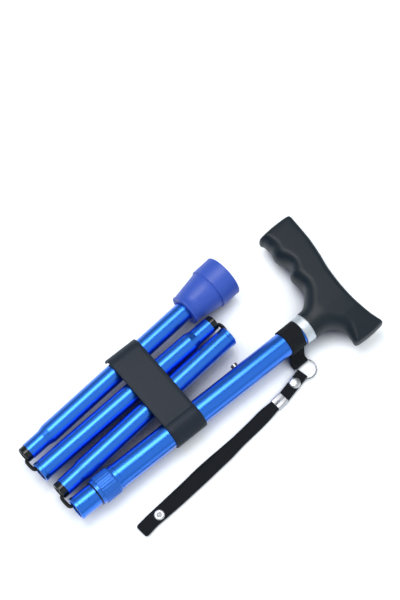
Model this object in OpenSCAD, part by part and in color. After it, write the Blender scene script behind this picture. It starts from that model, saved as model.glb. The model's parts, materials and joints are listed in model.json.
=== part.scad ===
// Folding cane, folded. All lengths are millimetres.
// X runs from the fold end to the tip end, Y across the tubes, Z up. The table is Z zero.

/* [Tubes] */
// Outer diameter of the three lower sections
lower_tube_d = 17.8; // [16.8:0.1:19]
// Wall of the three lower sections
lower_tube_wall = 1.3; // [1:0.1:1.5]
// Outer diameter of the sliding tube in the upper section
upper_tube_d = 20; // [19.4:0.1:21.4]
// Wall of the sliding tube
upper_tube_wall = 1.8; // [1.5:0.1:2.1]
// Wall of the handle tube
handle_tube_wall = 0.9; // [0.8:0.1:1.4]
// Length of the second and third sections
section_len = 196; // [180:1:215]
// How far the tip section is longer than the others
tip_overhang = 35; // [30:1:42]
// Sliding tube beyond its snap button
upper_tail_len = 25.5; // [22:0.5:36]

/* [Bundle] */
// Clear space between the second and third sections at their fold
lower_gap = 0.2; // [0.2:0.1:1.5]
// Clear space between the third and tip sections at their fold
tip_gap = 2.2; // [1.6:0.1:4]
// Clear space between the upper section and its neighbour at the fold
upper_gap = 1.6; // [1.6:0.1:3]
// Angle of the upper section, degrees
splay = 4.6; // [3.6:0.1:5.6]
// Angle of the third section, degrees
third_turn = 1.4; // [1.2:0.1:1.8]

/* [Necks and cord] */
// Length of a neck with its plug
neck_len = 22; // [18:0.5:26]
// Length of the swaged cone behind a neck
swage_len = 6; // [4:0.5:8]
// Head of a plug in front of its neck
plug_head_len = 5.5; // [4:0.5:7]
// Stem of a plug in its neck
plug_stem_len = 12; // [8:0.5:14]
// Rolled rim at a socket, added to the diameter
rim_extra = 0.6; // [0.2:0.1:1]
// Length of the rolled rim
rim_len = 3; // [2:0.5:5]
// Diameter of the elastic cord
cord_d = 4; // [3.5:0.1:4.3]
// Bend of the cord over a mouth, at the middle of the cord
loop_bend_r = 2.9; // [2.8:0.1:3.4]
// Length of the plugs that hold the cord
anchor_len = 9; // [7:0.5:12]
// Depth of the cord anchor in the upper section
upper_anchor_depth = 62; // [50:1:80]

/* [Tip] */
// Diameter of the tread
tip_base_d = 38; // [34:0.5:42]
// Diameter of the small end
tip_top_d = 28; // [26:0.5:30]
// Length of the rubber tip
tip_len = 46; // [42:0.5:50]
// Length of the wide band at the tread
tip_band_len = 17; // [14:0.5:20]
// Rubber between the washer and the tread
tip_floor = 10.5; // [9:0.5:12]
// Step from the band to the cone, on the radius
tip_step = 0.9; // [0.6:0.1:1.2]
// Depth of the tread grooves
tread_depth = 1.5; // [1:0.1:2.5]
// Thickness of the washer
washer_t = 1.5; // [1:0.1:2]

/* [Handle] */
// From the tread to the foot of the grip, along the upper section
tip_to_grip = 21; // [19:0.5:30]
// Height of the grip above its foot
grip_height = 56.5; // [52:0.5:62]
// Reach of the long arm
grip_long_arm = 86.5; // [82:0.5:92]
// Reach of the short arm
grip_short_arm = 40.5; // [37:0.5:44]
// Thickness of the grip at the stem
grip_t = 31; // [29.5:0.5:34]
// Depth of the finger grooves
groove_depth = 3.6; // [2:0.1:4.5]
// Depth of the tube's hole in the grip
grip_socket_depth = 30; // [26:0.5:33]
// Length of the ferrule
ferrule_len = 9; // [7:0.5:11]
// Thickness of the ferrule
ferrule_t = 0.9; // [0.7:0.1:1.2]

/* [Height lock] */
// Diameter of the snap button
button_d = 6.5; // [5.5:0.1:7.5]
// Snap button's place along the sliding tube
button_at = 179.5; // [172:0.5:186]
// How far the button stands out of the handle tube
button_rise = 3.2; // [2.4:0.1:4]
// Distance of the height holes
hole_pitch = 25; // [20:0.5:28]
// Width of the leaf spring
spring_w = 6; // [5:0.1:7]
// Thickness of the leaf spring
spring_t = 0.5; // [0.4:0.05:0.7]
// Length of the spring's legs
spring_len = 18; // [15:0.5:20]
// Lower end of the lock, from the socket
lock_start = 21.2; // [19:0.1:30]
// Length of the collet's flange
lock_flange_len = 5; // [4:0.1:6]
// Length of the collet's cone in the nut
lock_cone_len = 4; // [3:0.1:6]
// Length of the ribbed nut
lock_nut_len = 15.9; // [13:0.1:18]
// Wall of the nut
lock_nut_t = 1.3; // [1.1:0.05:1.4]
// Flutes round the nut
lock_flutes = 20; // [16:1:24]
// Depth of the flutes
flute_depth = 0.45; // [0.3:0.05:0.5]

/* [Storage clip] */
// Width of the clip
clip_w = 31.4; // [26:0.2:34]
// Thickness of the clip
clip_t = 1.8; // [1.4:0.1:2.2]
// Lower edge of the clip, from the socket
clip_start = 97.6; // [96:0.2:106]
// How far the clip goes round under the upper section, degrees
clip_hook = 24; // [10:1:40]
// How far the clip's lip goes below the middle of the tip section
clip_lip = 1; // [0.5:0.1:1.4]

/* [Wrist strap] */
// Width of the webbing band on the handle tube
band_w = 17.4; // [16:0.2:19]
// Thickness of the webbing
web_t = 1; // [0.8:0.1:1.2]
// Sideways shift of the ring from the middle of the band
ring_shift = 4.2; // [3:0.1:5]
// Radius of the split ring at the middle of its wire
ring_r = 8.8; // [8.4:0.1:10]
// Wire of the split ring
ring_wire_d = 1.3; // [1:0.1:1.5]
// Inner radius of a webbing eye on the ring
eye_r = 2; // [1.9:0.05:2.2]
// Width of the webbing at the ring
tab_w = 8.6; // [7.6:0.1:8.8]
// Length of the snap tab
tab_len = 23; // [22:0.5:28]
// Angle between the snap tab and the strap, degrees
tab_turn = 8; // [0:0.5:9]
// Diameter of the snap's cap
cap_d = 10.2; // [8:0.1:11]
// Height of the snap's cap
cap_h = 2.3; // [1.6:0.1:3]
// Snap's place along its tab
snap_at = 7.6; // [7:0.1:9]
// Length of the crimp
crimp_len = 11; // [9:0.5:13]
// Width of the strap
strap_w = 12.4; // [11:0.1:14]
// Thickness of the doubled strap
strap_t = 2.5; // [2:0.1:2.7]
// Length of the strap
strap_len = 165; // [150:1:180]
// Rivet's distance from the strap's end
rivet_back = 18.5; // [14:0.5:24]
// Diameter of the rivet's flange
rivet_d = 10.2; // [8:0.1:11]

/* [Hidden] */
$fn = 96;
// Fits
slide_gap = 0.1;
turn_gap = 0.1;
neck_gap = 0.1;
seat_gap = 0.05;
loose_gap = 0.3;
clip_gap = 0.3;
overrun = 1;
// Small sizes
edge = 0.4;
bead = 0.8;
half_turn = 180;
quarter_turn = 90;
full_turn = 360;
half_share = 0.5;
plug_inset = 0.5;
plug_flare_share = 0.6;

// Radii of the tubes
lower_r = lower_tube_d / 2;
lower_bore_r = lower_r - lower_tube_wall;
upper_r = upper_tube_d / 2;
upper_bore_r = upper_r - upper_tube_wall;
handle_bore_r = upper_r + slide_gap;
handle_r = handle_bore_r + handle_tube_wall;
lower_neck_r = lower_bore_r - neck_gap;
second_neck_r = upper_bore_r - neck_gap;
cord_r = cord_d / 2;
cord_hole_r = cord_r + loose_gap;

// Places of the tubes
tip_section_len = section_len + tip_overhang;
grip_base = tip_section_len + tip_to_grip;
handle_start = lock_start + lock_flange_len + lock_cone_len + loose_gap;
handle_end = grip_base + grip_socket_depth;
upper_tube_len = button_at + upper_tail_len;
lower_pitch = lower_tube_d + lower_gap;
upper_pitch = lower_r + upper_r + upper_gap;
tip_base_r = tip_base_d / 2;
tip_top_r = tip_top_d / 2;
tip_start = tip_section_len - tip_len;
tip_slope = (tip_base_r - tip_step - tip_top_r) / (tip_len - tip_band_len);
// The third section's plug lies beside the rubber tip
third_lean = section_len * sin(third_turn);
tip_beside_r = tip_top_r + max(0, section_len - tip_start) * tip_slope;
tip_pitch = max(lower_tube_d + tip_gap, tip_beside_r + lower_neck_r - plug_inset + clip_gap - third_lean);
bundle_w = tip_pitch + third_lean + lower_pitch + upper_pitch;
axis_h = tip_base_r;
loop_out = cord_r + loose_gap;
loop_exit = 3;
loop_reach = loop_out + cord_r;
cord_start = loop_bend_r - loop_out + turn_gap;
palm_reach = (grip_base + grip_height) * cos(splay) + grip_long_arm * sin(splay);
fold_x = (loop_reach - palm_reach) / 2;
short_reach = (grip_base + grip_height) * sin(splay) + grip_short_arm * cos(splay);
upper_y = (short_reach - bundle_w - tip_base_r) / 2;
second_y = upper_y + upper_pitch;
third_y = second_y + lower_pitch;
tip_y = third_y + third_lean + tip_pitch;
// Where the middle lines of the upper and second sections would cross
apex_len = upper_pitch / tan(splay);

// Height lock
button_r = button_d / 2;
button_flange_extra = 0.7;
button_flange_t = 1.3;
button_top = handle_r + button_rise;
spring_top = upper_bore_r - loose_gap - button_flange_t - button_flange_extra;
spring_bottom = upper_bore_r - loose_gap - loose_gap;
spring_bend_r = (spring_top + spring_bottom) / 2;
hole_count = 3;
lock_sleeve_in_r = upper_r + turn_gap;
lock_nut_in_r = handle_r + turn_gap;
lock_nut_r = lock_nut_in_r + lock_nut_t;
lock_flange_r = handle_r + edge;
lock_nut_start = lock_start + lock_flange_len + loose_gap;
lock_nut_end = lock_start + lock_flange_len + lock_nut_len;
lock_bead_len = 1.6;
flute_width_share = 3.5;
flute_r = flute_depth * flute_width_share;

// Storage clip
clip_mid = clip_start + clip_w / 2;
clip_skew = clip_w * tan(splay) / 2;
clip_far = (bundle_w + clip_mid * sin(splay)) / cos(splay);
clip_hook_r = handle_r + turn_gap;
clip_lip_r = lower_r + clip_skew + clip_gap;
clip_tilt = asin((clip_hook_r - clip_lip_r) / clip_far);

// Wrist strap
band_gap = 1.3;
band_at = grip_base - ferrule_len - band_gap - band_w;
ring_at = band_at + band_w / 2 - ring_shift;
eye_out_r = eye_r + web_t;
ring_h = eye_out_r;
ring_drop = axis_h - ring_h;
band_in_r = handle_r + seat_gap;
band_r = band_in_r + web_t;
band_tab_t = web_t + web_t + loose_gap;
band_eye_at = ring_drop * sqrt(2);
ring_y = -ring_drop - ring_r;
snap_hole_r = 1.6;
tab_half_t = web_t + loose_gap / 2;
post_t = 1.2;
post_r = 3.8;
crimp_t = 0.7;
crimp_gap = 0.15;
crimp_neck_w = 8.8;
crimp_in_w = crimp_neck_w + loose_gap + loose_gap;
crimp_in_h = strap_t + crimp_gap + crimp_gap;
tab_in_crimp = 1.5;
strap_in_crimp = 5;
strap_lift = 0.7;
strap_step = 14;
strap_widen = 16;
strap_corner = 3;
rivet_r = rivet_d / 2;
rivet_barrel_r = 2.9;
rivet_flange_t = 0.6;
rivet_dot_r = 1.1;

// Tip
tip_tube_end = tip_section_len - tip_floor - washer_t - seat_gap - seat_gap;
tip_lip_extra = 0.5;
tip_lip_len = 1.4;
tip_edge = 1.2;
tread_shares = [0.34, 0.44, 0.62, 0.72];

// Grip: across share, height share
palm_shares = [[-1, 0.913], [-0.93, 0.931], [-0.62, 0.871], [-0.22, 0.830], [0.09, 0.834],
    [0.31, 0.869], [0.46, 0.906], [0.65, 0.956], [0.84, 0.981], [0.985, 0.998], [1, 0.995]];
finger_shares = [[-1, 0.345], [-0.86, 0.359], [-0.67, 0.365], [-0.47, 0.363], [0, 0.354],
    [0.2, 0.301], [1, 0.320]];
thick_shares = [[-1, 0.42], [-0.74, 0.62], [-0.37, 0.87], [0, 0.97], [0.23, 0.97], [0.58, 0.94],
    [0.92, 0.90], [1, 0.87]];
// Distance from an end as a share of the thickness, size share there
end_shares = [[0, 0.86], [0.02, 0.93], [0.06, 0.975], [0.12, 1]];
// Stem: height share, short side share, long side share, thickness share
stem_shares = [[0, 0.768, 0.774, 0.774], [0.035, 0.782, 0.800, 0.786], [0.07, 0.806, 0.845, 0.806],
    [0.14, 0.871, 0.942, 0.86], [0.21, 1.02, 1.13, 0.91], [0.28, 1.23, 1.45, 0.95],
    [0.335, 1.46, 1.74, 0.97], [0.4, 1.66, 1.95, 0.97], [0.5, 1.6, 1.9, 0.93]];
groove_shares = [0.204, 0.458, 0.966];
groove_pitch = grip_long_arm * (groove_shares[1] - groove_shares[0]);
grip_round = 0.74;
grip_points = 32;
grip_steps = 24;
short_steps = 9;
grip_half_t = grip_t / 2;
stem_low_r = max(grip_half_t, (handle_r + bead) / 0.768);

// Frames: the upper section, a lower section, its far end looking back, and the third section from its plug
module in_upper() {
    translate([fold_x, upper_y, axis_h]) rotate([0, 0, -splay]) children();
}

module in_lower(y) {
    translate([fold_x, y, axis_h]) children();
}

module in_lower_back(y) {
    translate([fold_x + section_len, y, axis_h]) mirror([1, 0, 0]) children();
}

module in_third() {
    translate([fold_x + section_len, third_y, axis_h]) rotate([0, 0, -third_turn]) mirror([1, 0, 0]) children();
}

// A turned piece along X: profile points are [radius, x]
module turned(profile) {
    rotate([0, quarter_turn, 0]) rotate_extrude() polygon(profile);
}

module rod_x(r, from, to) {
    translate([from, 0, 0]) rotate([0, quarter_turn, 0]) cylinder(r = r, h = to - from);
}

// Frame of the snap tab, X along the tab from the middle of the ring
module in_tab() {
    in_upper() translate([ring_at, ring_y, -ring_drop])
        rotate([0, 0, half_turn + splay + tab_turn]) children();
}

// Frame of the strap, X along the strap from the mouth of the crimp
module in_strap() {
    in_tab() translate([ring_r + tab_len, 0, 0]) rotate([0, 0, -tab_turn]) children();
}

// Handle
function across(share) = share < 0 ? share * grip_short_arm : share * grip_long_arm;
function bent(v) = sign(v) * pow(abs(v), grip_round);
function groove_at(share) = share < groove_shares[0] || share > groove_shares[2] ? 0
    : groove_depth * half_share * (1 - cos(full_turn * (share - groove_shares[1]) * grip_long_arm / groove_pitch));
function end_scale(share) = lookup(min(abs(across(1) - across(share)), abs(across(-1) - across(share))) / grip_t,
    end_shares);
function bar_ring(share) =
    let(low = lookup(share, finger_shares) * grip_height + groove_at(share),
        high = lookup(share, palm_shares) * grip_height,
        mid = (low + high) / 2,
        half_w = (high - low) / 2 * end_scale(share),
        half_t = lookup(share, thick_shares) * grip_half_t * end_scale(share))
    [for (i = [0 : grip_points - 1])
        let(turn = full_turn * i / grip_points)
        [grip_base + mid + half_w * bent(cos(turn)), across(share), half_t * bent(sin(turn))]];
function stem_ring(row) =
    let(low_share = 1 - min(1, row[0] / stem_shares[4][0]),
        size = grip_half_t + (stem_low_r - grip_half_t) * low_share,
        left = row[1] * size,
        right = row[2] * size,
        mid = (right - left) / 2,
        half_w = (right + left) / 2,
        half_t = row[3] * size,
        power = 1 + (grip_round - 1) * (1 - low_share))
    [for (i = [0 : grip_points - 1])
        let(turn = full_turn * i / grip_points, c = cos(turn), s = sin(turn))
        [grip_base + row[0] * grip_height, mid + half_w * sign(c) * pow(abs(c), power),
            half_t * sign(s) * pow(abs(s), power)]];
bar_list = concat([-1, -0.985, -0.955, -0.91], [for (i = [1 : short_steps]) -0.91 + 0.91 * i / short_steps],
    [0.1], [for (i = [0 : grip_steps]) groove_shares[0] + (groove_shares[2] - groove_shares[0]) * i / grip_steps],
    [0.98, 0.993, 1]);

module loft(rings, flip) {
    count = len(rings);
    n = len(rings[0]);
    points = [for (r = rings) each r];
    sides = [for (k = [0 : count - 2]) for (i = [0 : n - 1])
        let(a = k * n + i, b = k * n + (i + 1) % n, c = a + n, d = b + n)
        each (flip ? [[a, b, c], [b, d, c]] : [[a, c, b], [b, c, d]])];
    first = [for (i = [0 : n - 1]) flip ? n - 1 - i : i];
    last = [for (i = [0 : n - 1]) (count - 1) * n + (flip ? i : n - 1 - i)];
    polyhedron(points, concat(sides, [first, last]));
}

module handle_grip() {
    color([0.16, 0.17, 0.18]) in_upper() difference() {
        union() {
            loft([for (share = bar_list) bar_ring(share)], true);
            loft([for (row = stem_shares) stem_ring(row)], false);
        }
        rod_x(handle_r + seat_gap, grip_base - overrun, grip_base + grip_socket_depth + seat_gap);
    }
}

module handle_ferrule() {
    in_r = handle_r + seat_gap;
    out_r = in_r + ferrule_t;
    low = grip_base - ferrule_len;
    color([0.8, 0.81, 0.83]) in_upper() turned([[in_r, low], [out_r - edge, low], [out_r, low + edge],
        [out_r, grip_base - bead - bead], [out_r + edge, grip_base - bead],
        [out_r + edge, grip_base - seat_gap], [in_r, grip_base - seat_gap]]);
}

module handle_tube() {
    bead_from = lock_nut_end + turn_gap;
    bead_to = bead_from + lock_bead_len;
    color([0.05, 0.2, 0.62]) in_upper() difference() {
        turned([[handle_bore_r, handle_start], [handle_r - edge, handle_start], [handle_r, handle_start + edge],
            [handle_r, bead_from], [lock_flange_r, bead_from], [lock_flange_r, bead_to - edge],
            [handle_r, bead_to], [handle_r, handle_end], [handle_bore_r, handle_end]]);
        for (i = [0 : hole_count - 1]) {
            translate([button_at - i * hole_pitch, 0, 0]) rotate([-quarter_turn, 0, 0])
                cylinder(r = button_r + slide_gap, h = handle_r + overrun);
        }
    }
}

module upper_tube() {
    rim_r = upper_r + rim_extra / 2;
    color([0.05, 0.2, 0.62]) in_upper() difference() {
        turned([[upper_bore_r + edge, 0], [rim_r - edge, 0], [rim_r, edge], [rim_r, rim_len],
            [upper_r, rim_len + edge], [upper_r, upper_tube_len], [upper_bore_r, upper_tube_len],
            [upper_bore_r, edge]]);
        translate([button_at, 0, 0]) rotate([-quarter_turn, 0, 0])
            cylinder(r = button_r + slide_gap, h = upper_r + overrun);
    }
}

module snap_button() {
    flange_r = button_r + button_flange_extra;
    shoulder = spring_top + button_flange_t;
    color([0.85, 0.86, 0.88]) in_upper() translate([button_at, 0, 0]) rotate([-quarter_turn, 0, 0])
        union() {
            intersection() {
                translate([0, 0, spring_top]) cylinder(r = button_r, h = button_top - spring_top);
                translate([0, 0, button_top - button_d]) sphere(r = button_d);
            }
            translate([0, 0, spring_top + seat_gap]) cylinder(r = flange_r, h = shoulder - spring_top - seat_gap);
        }
}

module button_spring() {
    bend_x = button_at + spring_len;
    bend_y = (spring_top - spring_bottom) / 2;
    color([0.7, 0.71, 0.73]) in_upper() translate([0, 0, -spring_w / 2]) linear_extrude(spring_w) {
        translate([button_at - spring_w, spring_top - spring_t - seat_gap])
            square([spring_len + spring_w, spring_t]);
        translate([button_at - spring_len, -spring_bottom]) square([spring_len + spring_len, spring_t]);
        translate([bend_x, bend_y - seat_gap / 2]) intersection() {
            difference() {
                circle(r = spring_bend_r - seat_gap / 2);
                circle(r = spring_bend_r - seat_gap / 2 - spring_t);
            }
            translate([0, -spring_bend_r]) square([spring_bend_r, spring_bend_r + spring_bend_r]);
        }
    }
}

// Height lock: a collet on the sliding tube, squeezed by the nut on the end of the handle tube
module lock_sleeve() {
    flange_end = lock_start + lock_flange_len;
    cone_end = flange_end + lock_cone_len;
    color([0.05, 0.2, 0.62]) in_upper() turned([[lock_sleeve_in_r, lock_start],
        [lock_flange_r - edge, lock_start], [lock_flange_r, lock_start + edge], [lock_flange_r, flange_end],
        [handle_r, flange_end], [handle_r - edge, cone_end], [lock_sleeve_in_r, cone_end]]);
}

module lock_nut() {
    from = lock_nut_start;
    to = lock_nut_end;
    color([0.05, 0.2, 0.62]) in_upper() intersection() {
        translate([from, 0, 0]) rotate([0, quarter_turn, 0]) linear_extrude(to - from) difference() {
            circle(r = lock_nut_r);
            circle(r = lock_nut_in_r);
            for (i = [0 : lock_flutes - 1]) {
                rotate(full_turn * i / lock_flutes)
                    translate([lock_nut_r + flute_r - flute_depth, 0]) circle(r = flute_r, $fn = 24);
            }
        }
        turned([[0, from], [lock_nut_r - edge, from], [lock_nut_r, from + edge], [lock_nut_r, to - bead - bead],
            [lock_nut_in_r + edge, to], [0, to]]);
    }
}

// Storage clip: hook round the upper section, plate, lip over the tip section
module clip_body(hook_r, lip_r, plate_shift, from, to) {
    hook = hook_r + plate_shift;
    lip = lip_r + plate_shift;
    translate([0, 0, from]) union() {
        cylinder(r = hook_r, h = to - from);
        translate([clip_far, 0, 0]) cylinder(r = lip_r, h = to - from);
        linear_extrude(to - from) polygon([[0, 0], [hook * sin(clip_tilt), hook * cos(clip_tilt)],
            [clip_far + lip * sin(clip_tilt), lip * cos(clip_tilt)], [clip_far, 0]]);
    }
}

// What is left open under the clip
module clip_mouth(from, to) {
    reach = clip_hook_r + clip_t + overrun;
    translate([clip_hook_r * sin(clip_hook), -reach, from]) cube([clip_far, reach, to - from]);
    translate([clip_far, -reach, from]) cube([reach, reach - clip_lip, to - from]);
}

module storage_clip() {
    end = clip_w + overrun;
    color([0.3, 0.31, 0.33]) in_upper() translate([clip_start, 0, 0])
        rotate([quarter_turn, 0, quarter_turn]) difference() {
            clip_body(clip_hook_r + clip_t, clip_lip_r + clip_t, -seat_gap, 0, clip_w);
            clip_body(clip_hook_r, clip_lip_r, seat_gap, -overrun, end);
            clip_mouth(-overrun, end);
        }
}

// Lower sections: plug face at zero, neck, swaged cone, tube, socket rim
module section_tube(neck_r, length, rim) {
    neck_in_r = neck_r - lower_tube_wall;
    cone_end = neck_len + swage_len;
    turned([[neck_in_r, plug_head_len], [neck_r, plug_head_len], [neck_r, neck_len], [lower_r, cone_end],
        [lower_r, length - rim_len - edge], [lower_r + rim, length - rim_len],
        [lower_r + rim, length - edge], [lower_r + rim - edge, length],
        [lower_bore_r, length], [lower_bore_r, cone_end], [neck_in_r, neck_len]]);
}

module section_plug(neck_r) {
    stem_r = neck_r - lower_tube_wall - seat_gap;
    mouth_r = cord_hole_r + plug_head_len * plug_flare_share;
    head_r = neck_r - plug_inset;
    end = plug_head_len + plug_stem_len;
    color([0.06, 0.06, 0.07]) turned([[mouth_r, 0], [head_r - bead, 0], [head_r, bead],
        [head_r, plug_head_len - seat_gap], [stem_r, plug_head_len - seat_gap], [stem_r, end],
        [cord_hole_r, end], [cord_hole_r, plug_head_len]]);
}

// A run of cord inside a tube
module cord_run(from, to) {
    color([0.05, 0.05, 0.06]) rod_x(cord_r, from, to);
}

module cord_anchor(r, from) {
    color([0.2, 0.2, 0.22]) difference() {
        rod_x(r - seat_gap, from, from + anchor_len);
        rod_x(cord_r + seat_gap, from - overrun, from + anchor_len - bead - bead);
    }
}

// A loop of cord across a fold: X points from the loop back to the tubes, zero at their mouths
module cord_loop(half_pitch) {
    straight = half_pitch - loop_bend_r - loop_exit;
    color([0.05, 0.05, 0.06]) union() {
        translate([-loop_out, -straight - loose_gap, 0]) rotate([-quarter_turn, 0, 0])
            cylinder(r = cord_r - seat_gap, h = straight + straight + loose_gap + loose_gap, $fn = 48);
        for (side = [0, 1]) {
            translate([loop_bend_r - loop_out, straight * (1 - side - side), 0])
                rotate([0, 0, quarter_turn + side * quarter_turn]) rotate_extrude(angle = quarter_turn)
                    translate([loop_bend_r, 0]) circle(r = cord_r, $fn = 48);
        }
    }
}

module upper_anchor() {
    in_upper() cord_anchor(upper_bore_r, upper_anchor_depth);
}

module upper_cord() {
    in_upper() cord_run(cord_start, upper_anchor_depth + anchor_len - bead - bead - seat_gap);
}

module upper_loop() {
    translate([fold_x - apex_len, second_y, axis_h]) rotate([0, 0, -splay / 2])
        translate([apex_len * cos(splay / 2), 0, 0]) cord_loop(apex_len * sin(splay / 2));
}

module second_tube() {
    color([0.05, 0.2, 0.62]) in_lower(second_y) section_tube(second_neck_r, section_len, rim_extra / 2);
}

module second_plug() {
    in_lower(second_y) section_plug(second_neck_r);
}

module second_cord() {
    in_lower(second_y) cord_run(cord_start, section_len - cord_start);
}

module second_loop() {
    in_lower_back((second_y + third_y) / 2) cord_loop(lower_pitch / 2);
}

module third_tube() {
    color([0.05, 0.2, 0.62]) in_third() section_tube(lower_neck_r, section_len, rim_extra / 2);
}

module third_plug() {
    in_third() section_plug(lower_neck_r);
}

module third_cord() {
    in_third() cord_run(cord_start, section_len - cord_start);
}

module third_loop() {
    in_lower(tip_y - tip_pitch / 2) cord_loop(tip_pitch / 2);
}

// Tip section
module tip_tube() {
    color([0.05, 0.2, 0.62]) in_lower(tip_y) section_tube(lower_neck_r, tip_tube_end, 0);
}

module tip_plug() {
    in_lower(tip_y) section_plug(lower_neck_r);
}

module tip_anchor() {
    in_lower(tip_y) cord_anchor(lower_bore_r, tip_tube_end - anchor_len);
}

module tip_cord() {
    in_lower(tip_y) cord_run(cord_start, tip_tube_end - bead - bead - seat_gap);
}

module rubber_tip() {
    bore_r = lower_r + seat_gap;
    bore_end = tip_section_len - tip_floor;
    band = tip_section_len - tip_band_len;
    flat = tip_section_len;
    ring = [for (share = tread_shares) share * tip_base_r];
    color([0.1, 0.25, 0.6]) in_lower(tip_y) turned([[bore_r, tip_start], [tip_top_r, tip_start],
        [tip_top_r + tip_lip_extra, tip_start + edge], [tip_top_r + tip_lip_extra, tip_start + tip_lip_len],
        [tip_top_r, tip_start + tip_lip_len + edge], [tip_base_r - tip_step, band - edge],
        [tip_base_r - edge, band - edge], [tip_base_r, band], [tip_base_r, flat - tip_edge],
        [tip_base_r - tip_edge, flat],
        [ring[3], flat], [ring[3], flat - tread_depth], [ring[2], flat - tread_depth], [ring[2], flat],
        [ring[1], flat], [ring[1], flat - tread_depth], [ring[0], flat - tread_depth], [ring[0], flat],
        [0, flat], [0, bore_end], [bore_r, bore_end]]);
}

module tip_washer() {
    color([0.75, 0.76, 0.78]) in_lower(tip_y)
        rod_x(lower_r - seat_gap, tip_tube_end + seat_gap, tip_section_len - tip_floor - seat_gap);
}

// Wrist strap
module strap_band() {
    color([0.06, 0.06, 0.07]) in_upper() difference() {
        union() {
            rod_x(band_r, band_at, band_at + band_w);
            translate([ring_at, 0, 0]) rotate([half_turn + quarter_turn / 2, 0, 0]) {
                translate([0, 0, -band_tab_t / 2]) linear_extrude(band_tab_t)
                    polygon([[ring_shift - band_w / 2, band_in_r], [ring_shift + band_w / 2, band_in_r],
                        [tab_w / 2, band_eye_at], [-tab_w / 2, band_eye_at]]);
                translate([0, band_eye_at, 0]) rod_x(eye_out_r, -tab_w / 2, tab_w / 2);
            }
        }
        rod_x(band_in_r, band_at - overrun, band_at + band_w + overrun);
        translate([ring_at, -ring_drop, -ring_drop]) rod_x(eye_r, -tab_w, tab_w);
    }
}

module split_ring() {
    color([0.85, 0.86, 0.88]) in_upper() translate([ring_at, ring_y, -ring_drop])
        rotate_extrude() translate([ring_r, 0]) circle(r = ring_wire_d / 2, $fn = 32);
}

module strap_tab() {
    color([0.06, 0.06, 0.07]) in_tab() difference() {
        translate([0, tab_w / 2, 0]) rotate([quarter_turn, 0, 0]) linear_extrude(tab_w) difference() {
            union() {
                translate([ring_r, 0]) circle(r = eye_out_r);
                translate([ring_r, -tab_half_t]) square([tab_len + tab_in_crimp, tab_half_t + tab_half_t]);
            }
            translate([ring_r, 0]) circle(r = eye_r);
            translate([ring_r, -loose_gap / 2]) square([tab_len + tab_in_crimp + overrun, loose_gap]);
        }
        translate([ring_r + snap_at, 0, -overrun - overrun])
            cylinder(r = snap_hole_r + seat_gap, h = overrun + overrun + overrun + overrun);
    }
}

module snap_cap() {
    top = tab_half_t + seat_gap;
    color([0.1, 0.1, 0.11]) in_tab() translate([ring_r + snap_at, 0, 0]) rotate_extrude() polygon([[0, top],
        [cap_d * half_share - edge, top], [cap_d * half_share, top + edge], [cap_d * half_share, top + bead],
        [cap_d * half_share * 0.86, top + cap_h * 0.66], [cap_d * half_share * 0.6, top + cap_h * 0.9],
        [cap_d * half_share * 0.3, top + cap_h], [0, top + cap_h]]);
}

module snap_post() {
    low = -tab_half_t - seat_gap;
    color([0.8, 0.81, 0.83]) in_tab() translate([ring_r + snap_at, 0, 0]) rotate_extrude() polygon([
        [0, low - post_t], [post_r - edge, low - post_t], [post_r, low - post_t + edge], [post_r, low],
        [snap_hole_r, low], [snap_hole_r, tab_half_t], [0, tab_half_t]]);
}

module strap_crimp() {
    color([0.85, 0.86, 0.88]) in_strap() translate([0, 0, -crimp_in_h / 2 - crimp_t]) difference() {
        translate([0, -crimp_in_w / 2 - crimp_t, 0])
            cube([crimp_len, crimp_in_w + crimp_t + crimp_t, crimp_in_h + crimp_t + crimp_t]);
        translate([-overrun, -crimp_in_w / 2, crimp_t])
            cube([crimp_len + overrun + overrun, crimp_in_w, crimp_in_h]);
    }
}

module wrist_strap() {
    flat = strap_lift - ring_h;
    low = -strap_t / 2;
    neck = crimp_len + edge;
    color([0.06, 0.06, 0.07]) in_strap() difference() {
        intersection() {
            translate([0, strap_w, 0]) rotate([quarter_turn, 0, 0]) linear_extrude(strap_w + strap_w)
                polygon([[strap_in_crimp, low], [neck, low], [neck + strap_step, flat], [strap_len, flat],
                    [strap_len, flat + strap_t], [neck + strap_step, flat + strap_t], [neck, low + strap_t],
                    [strap_in_crimp, low + strap_t]]);
            translate([0, 0, -ring_h]) linear_extrude(ring_h + ring_h) union() {
                polygon([[0, -crimp_neck_w / 2], [neck, -crimp_neck_w / 2], [neck + strap_widen, -strap_w / 2],
                    [strap_len - strap_corner, -strap_w / 2], [strap_len - strap_corner, strap_w / 2],
                    [neck + strap_widen, strap_w / 2], [neck, crimp_neck_w / 2], [0, crimp_neck_w / 2]]);
                translate([strap_len - strap_corner - overrun, strap_corner - strap_w / 2])
                    square([strap_corner + overrun, strap_w - strap_corner - strap_corner]);
                for (side = [-1, 1]) {
                    translate([strap_len - strap_corner, side * (strap_w / 2 - strap_corner)])
                        circle(r = strap_corner);
                }
            }
        }
        translate([strap_len - rivet_back, 0, -ring_h]) cylinder(r = rivet_barrel_r + seat_gap, h = ring_h + ring_h);
    }
}

module strap_rivet() {
    low = strap_lift - ring_h - seat_gap;
    high = low + strap_t + seat_gap + seat_gap;
    foot = low - rivet_flange_t;
    top = high + rivet_flange_t;
    inner_r = rivet_barrel_r - edge;
    color([0.75, 0.76, 0.78]) in_strap() translate([strap_len - rivet_back, 0, 0]) rotate_extrude() polygon([
        [0, foot], [rivet_r - edge, foot], [rivet_r - edge, low], [rivet_barrel_r, low], [rivet_barrel_r, high],
        [rivet_r, high], [rivet_r - edge, top], [inner_r, top], [inner_r, top - bead],
        [rivet_dot_r, top - bead], [rivet_dot_r - edge, top - edge], [0, top - edge]]);
}

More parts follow.
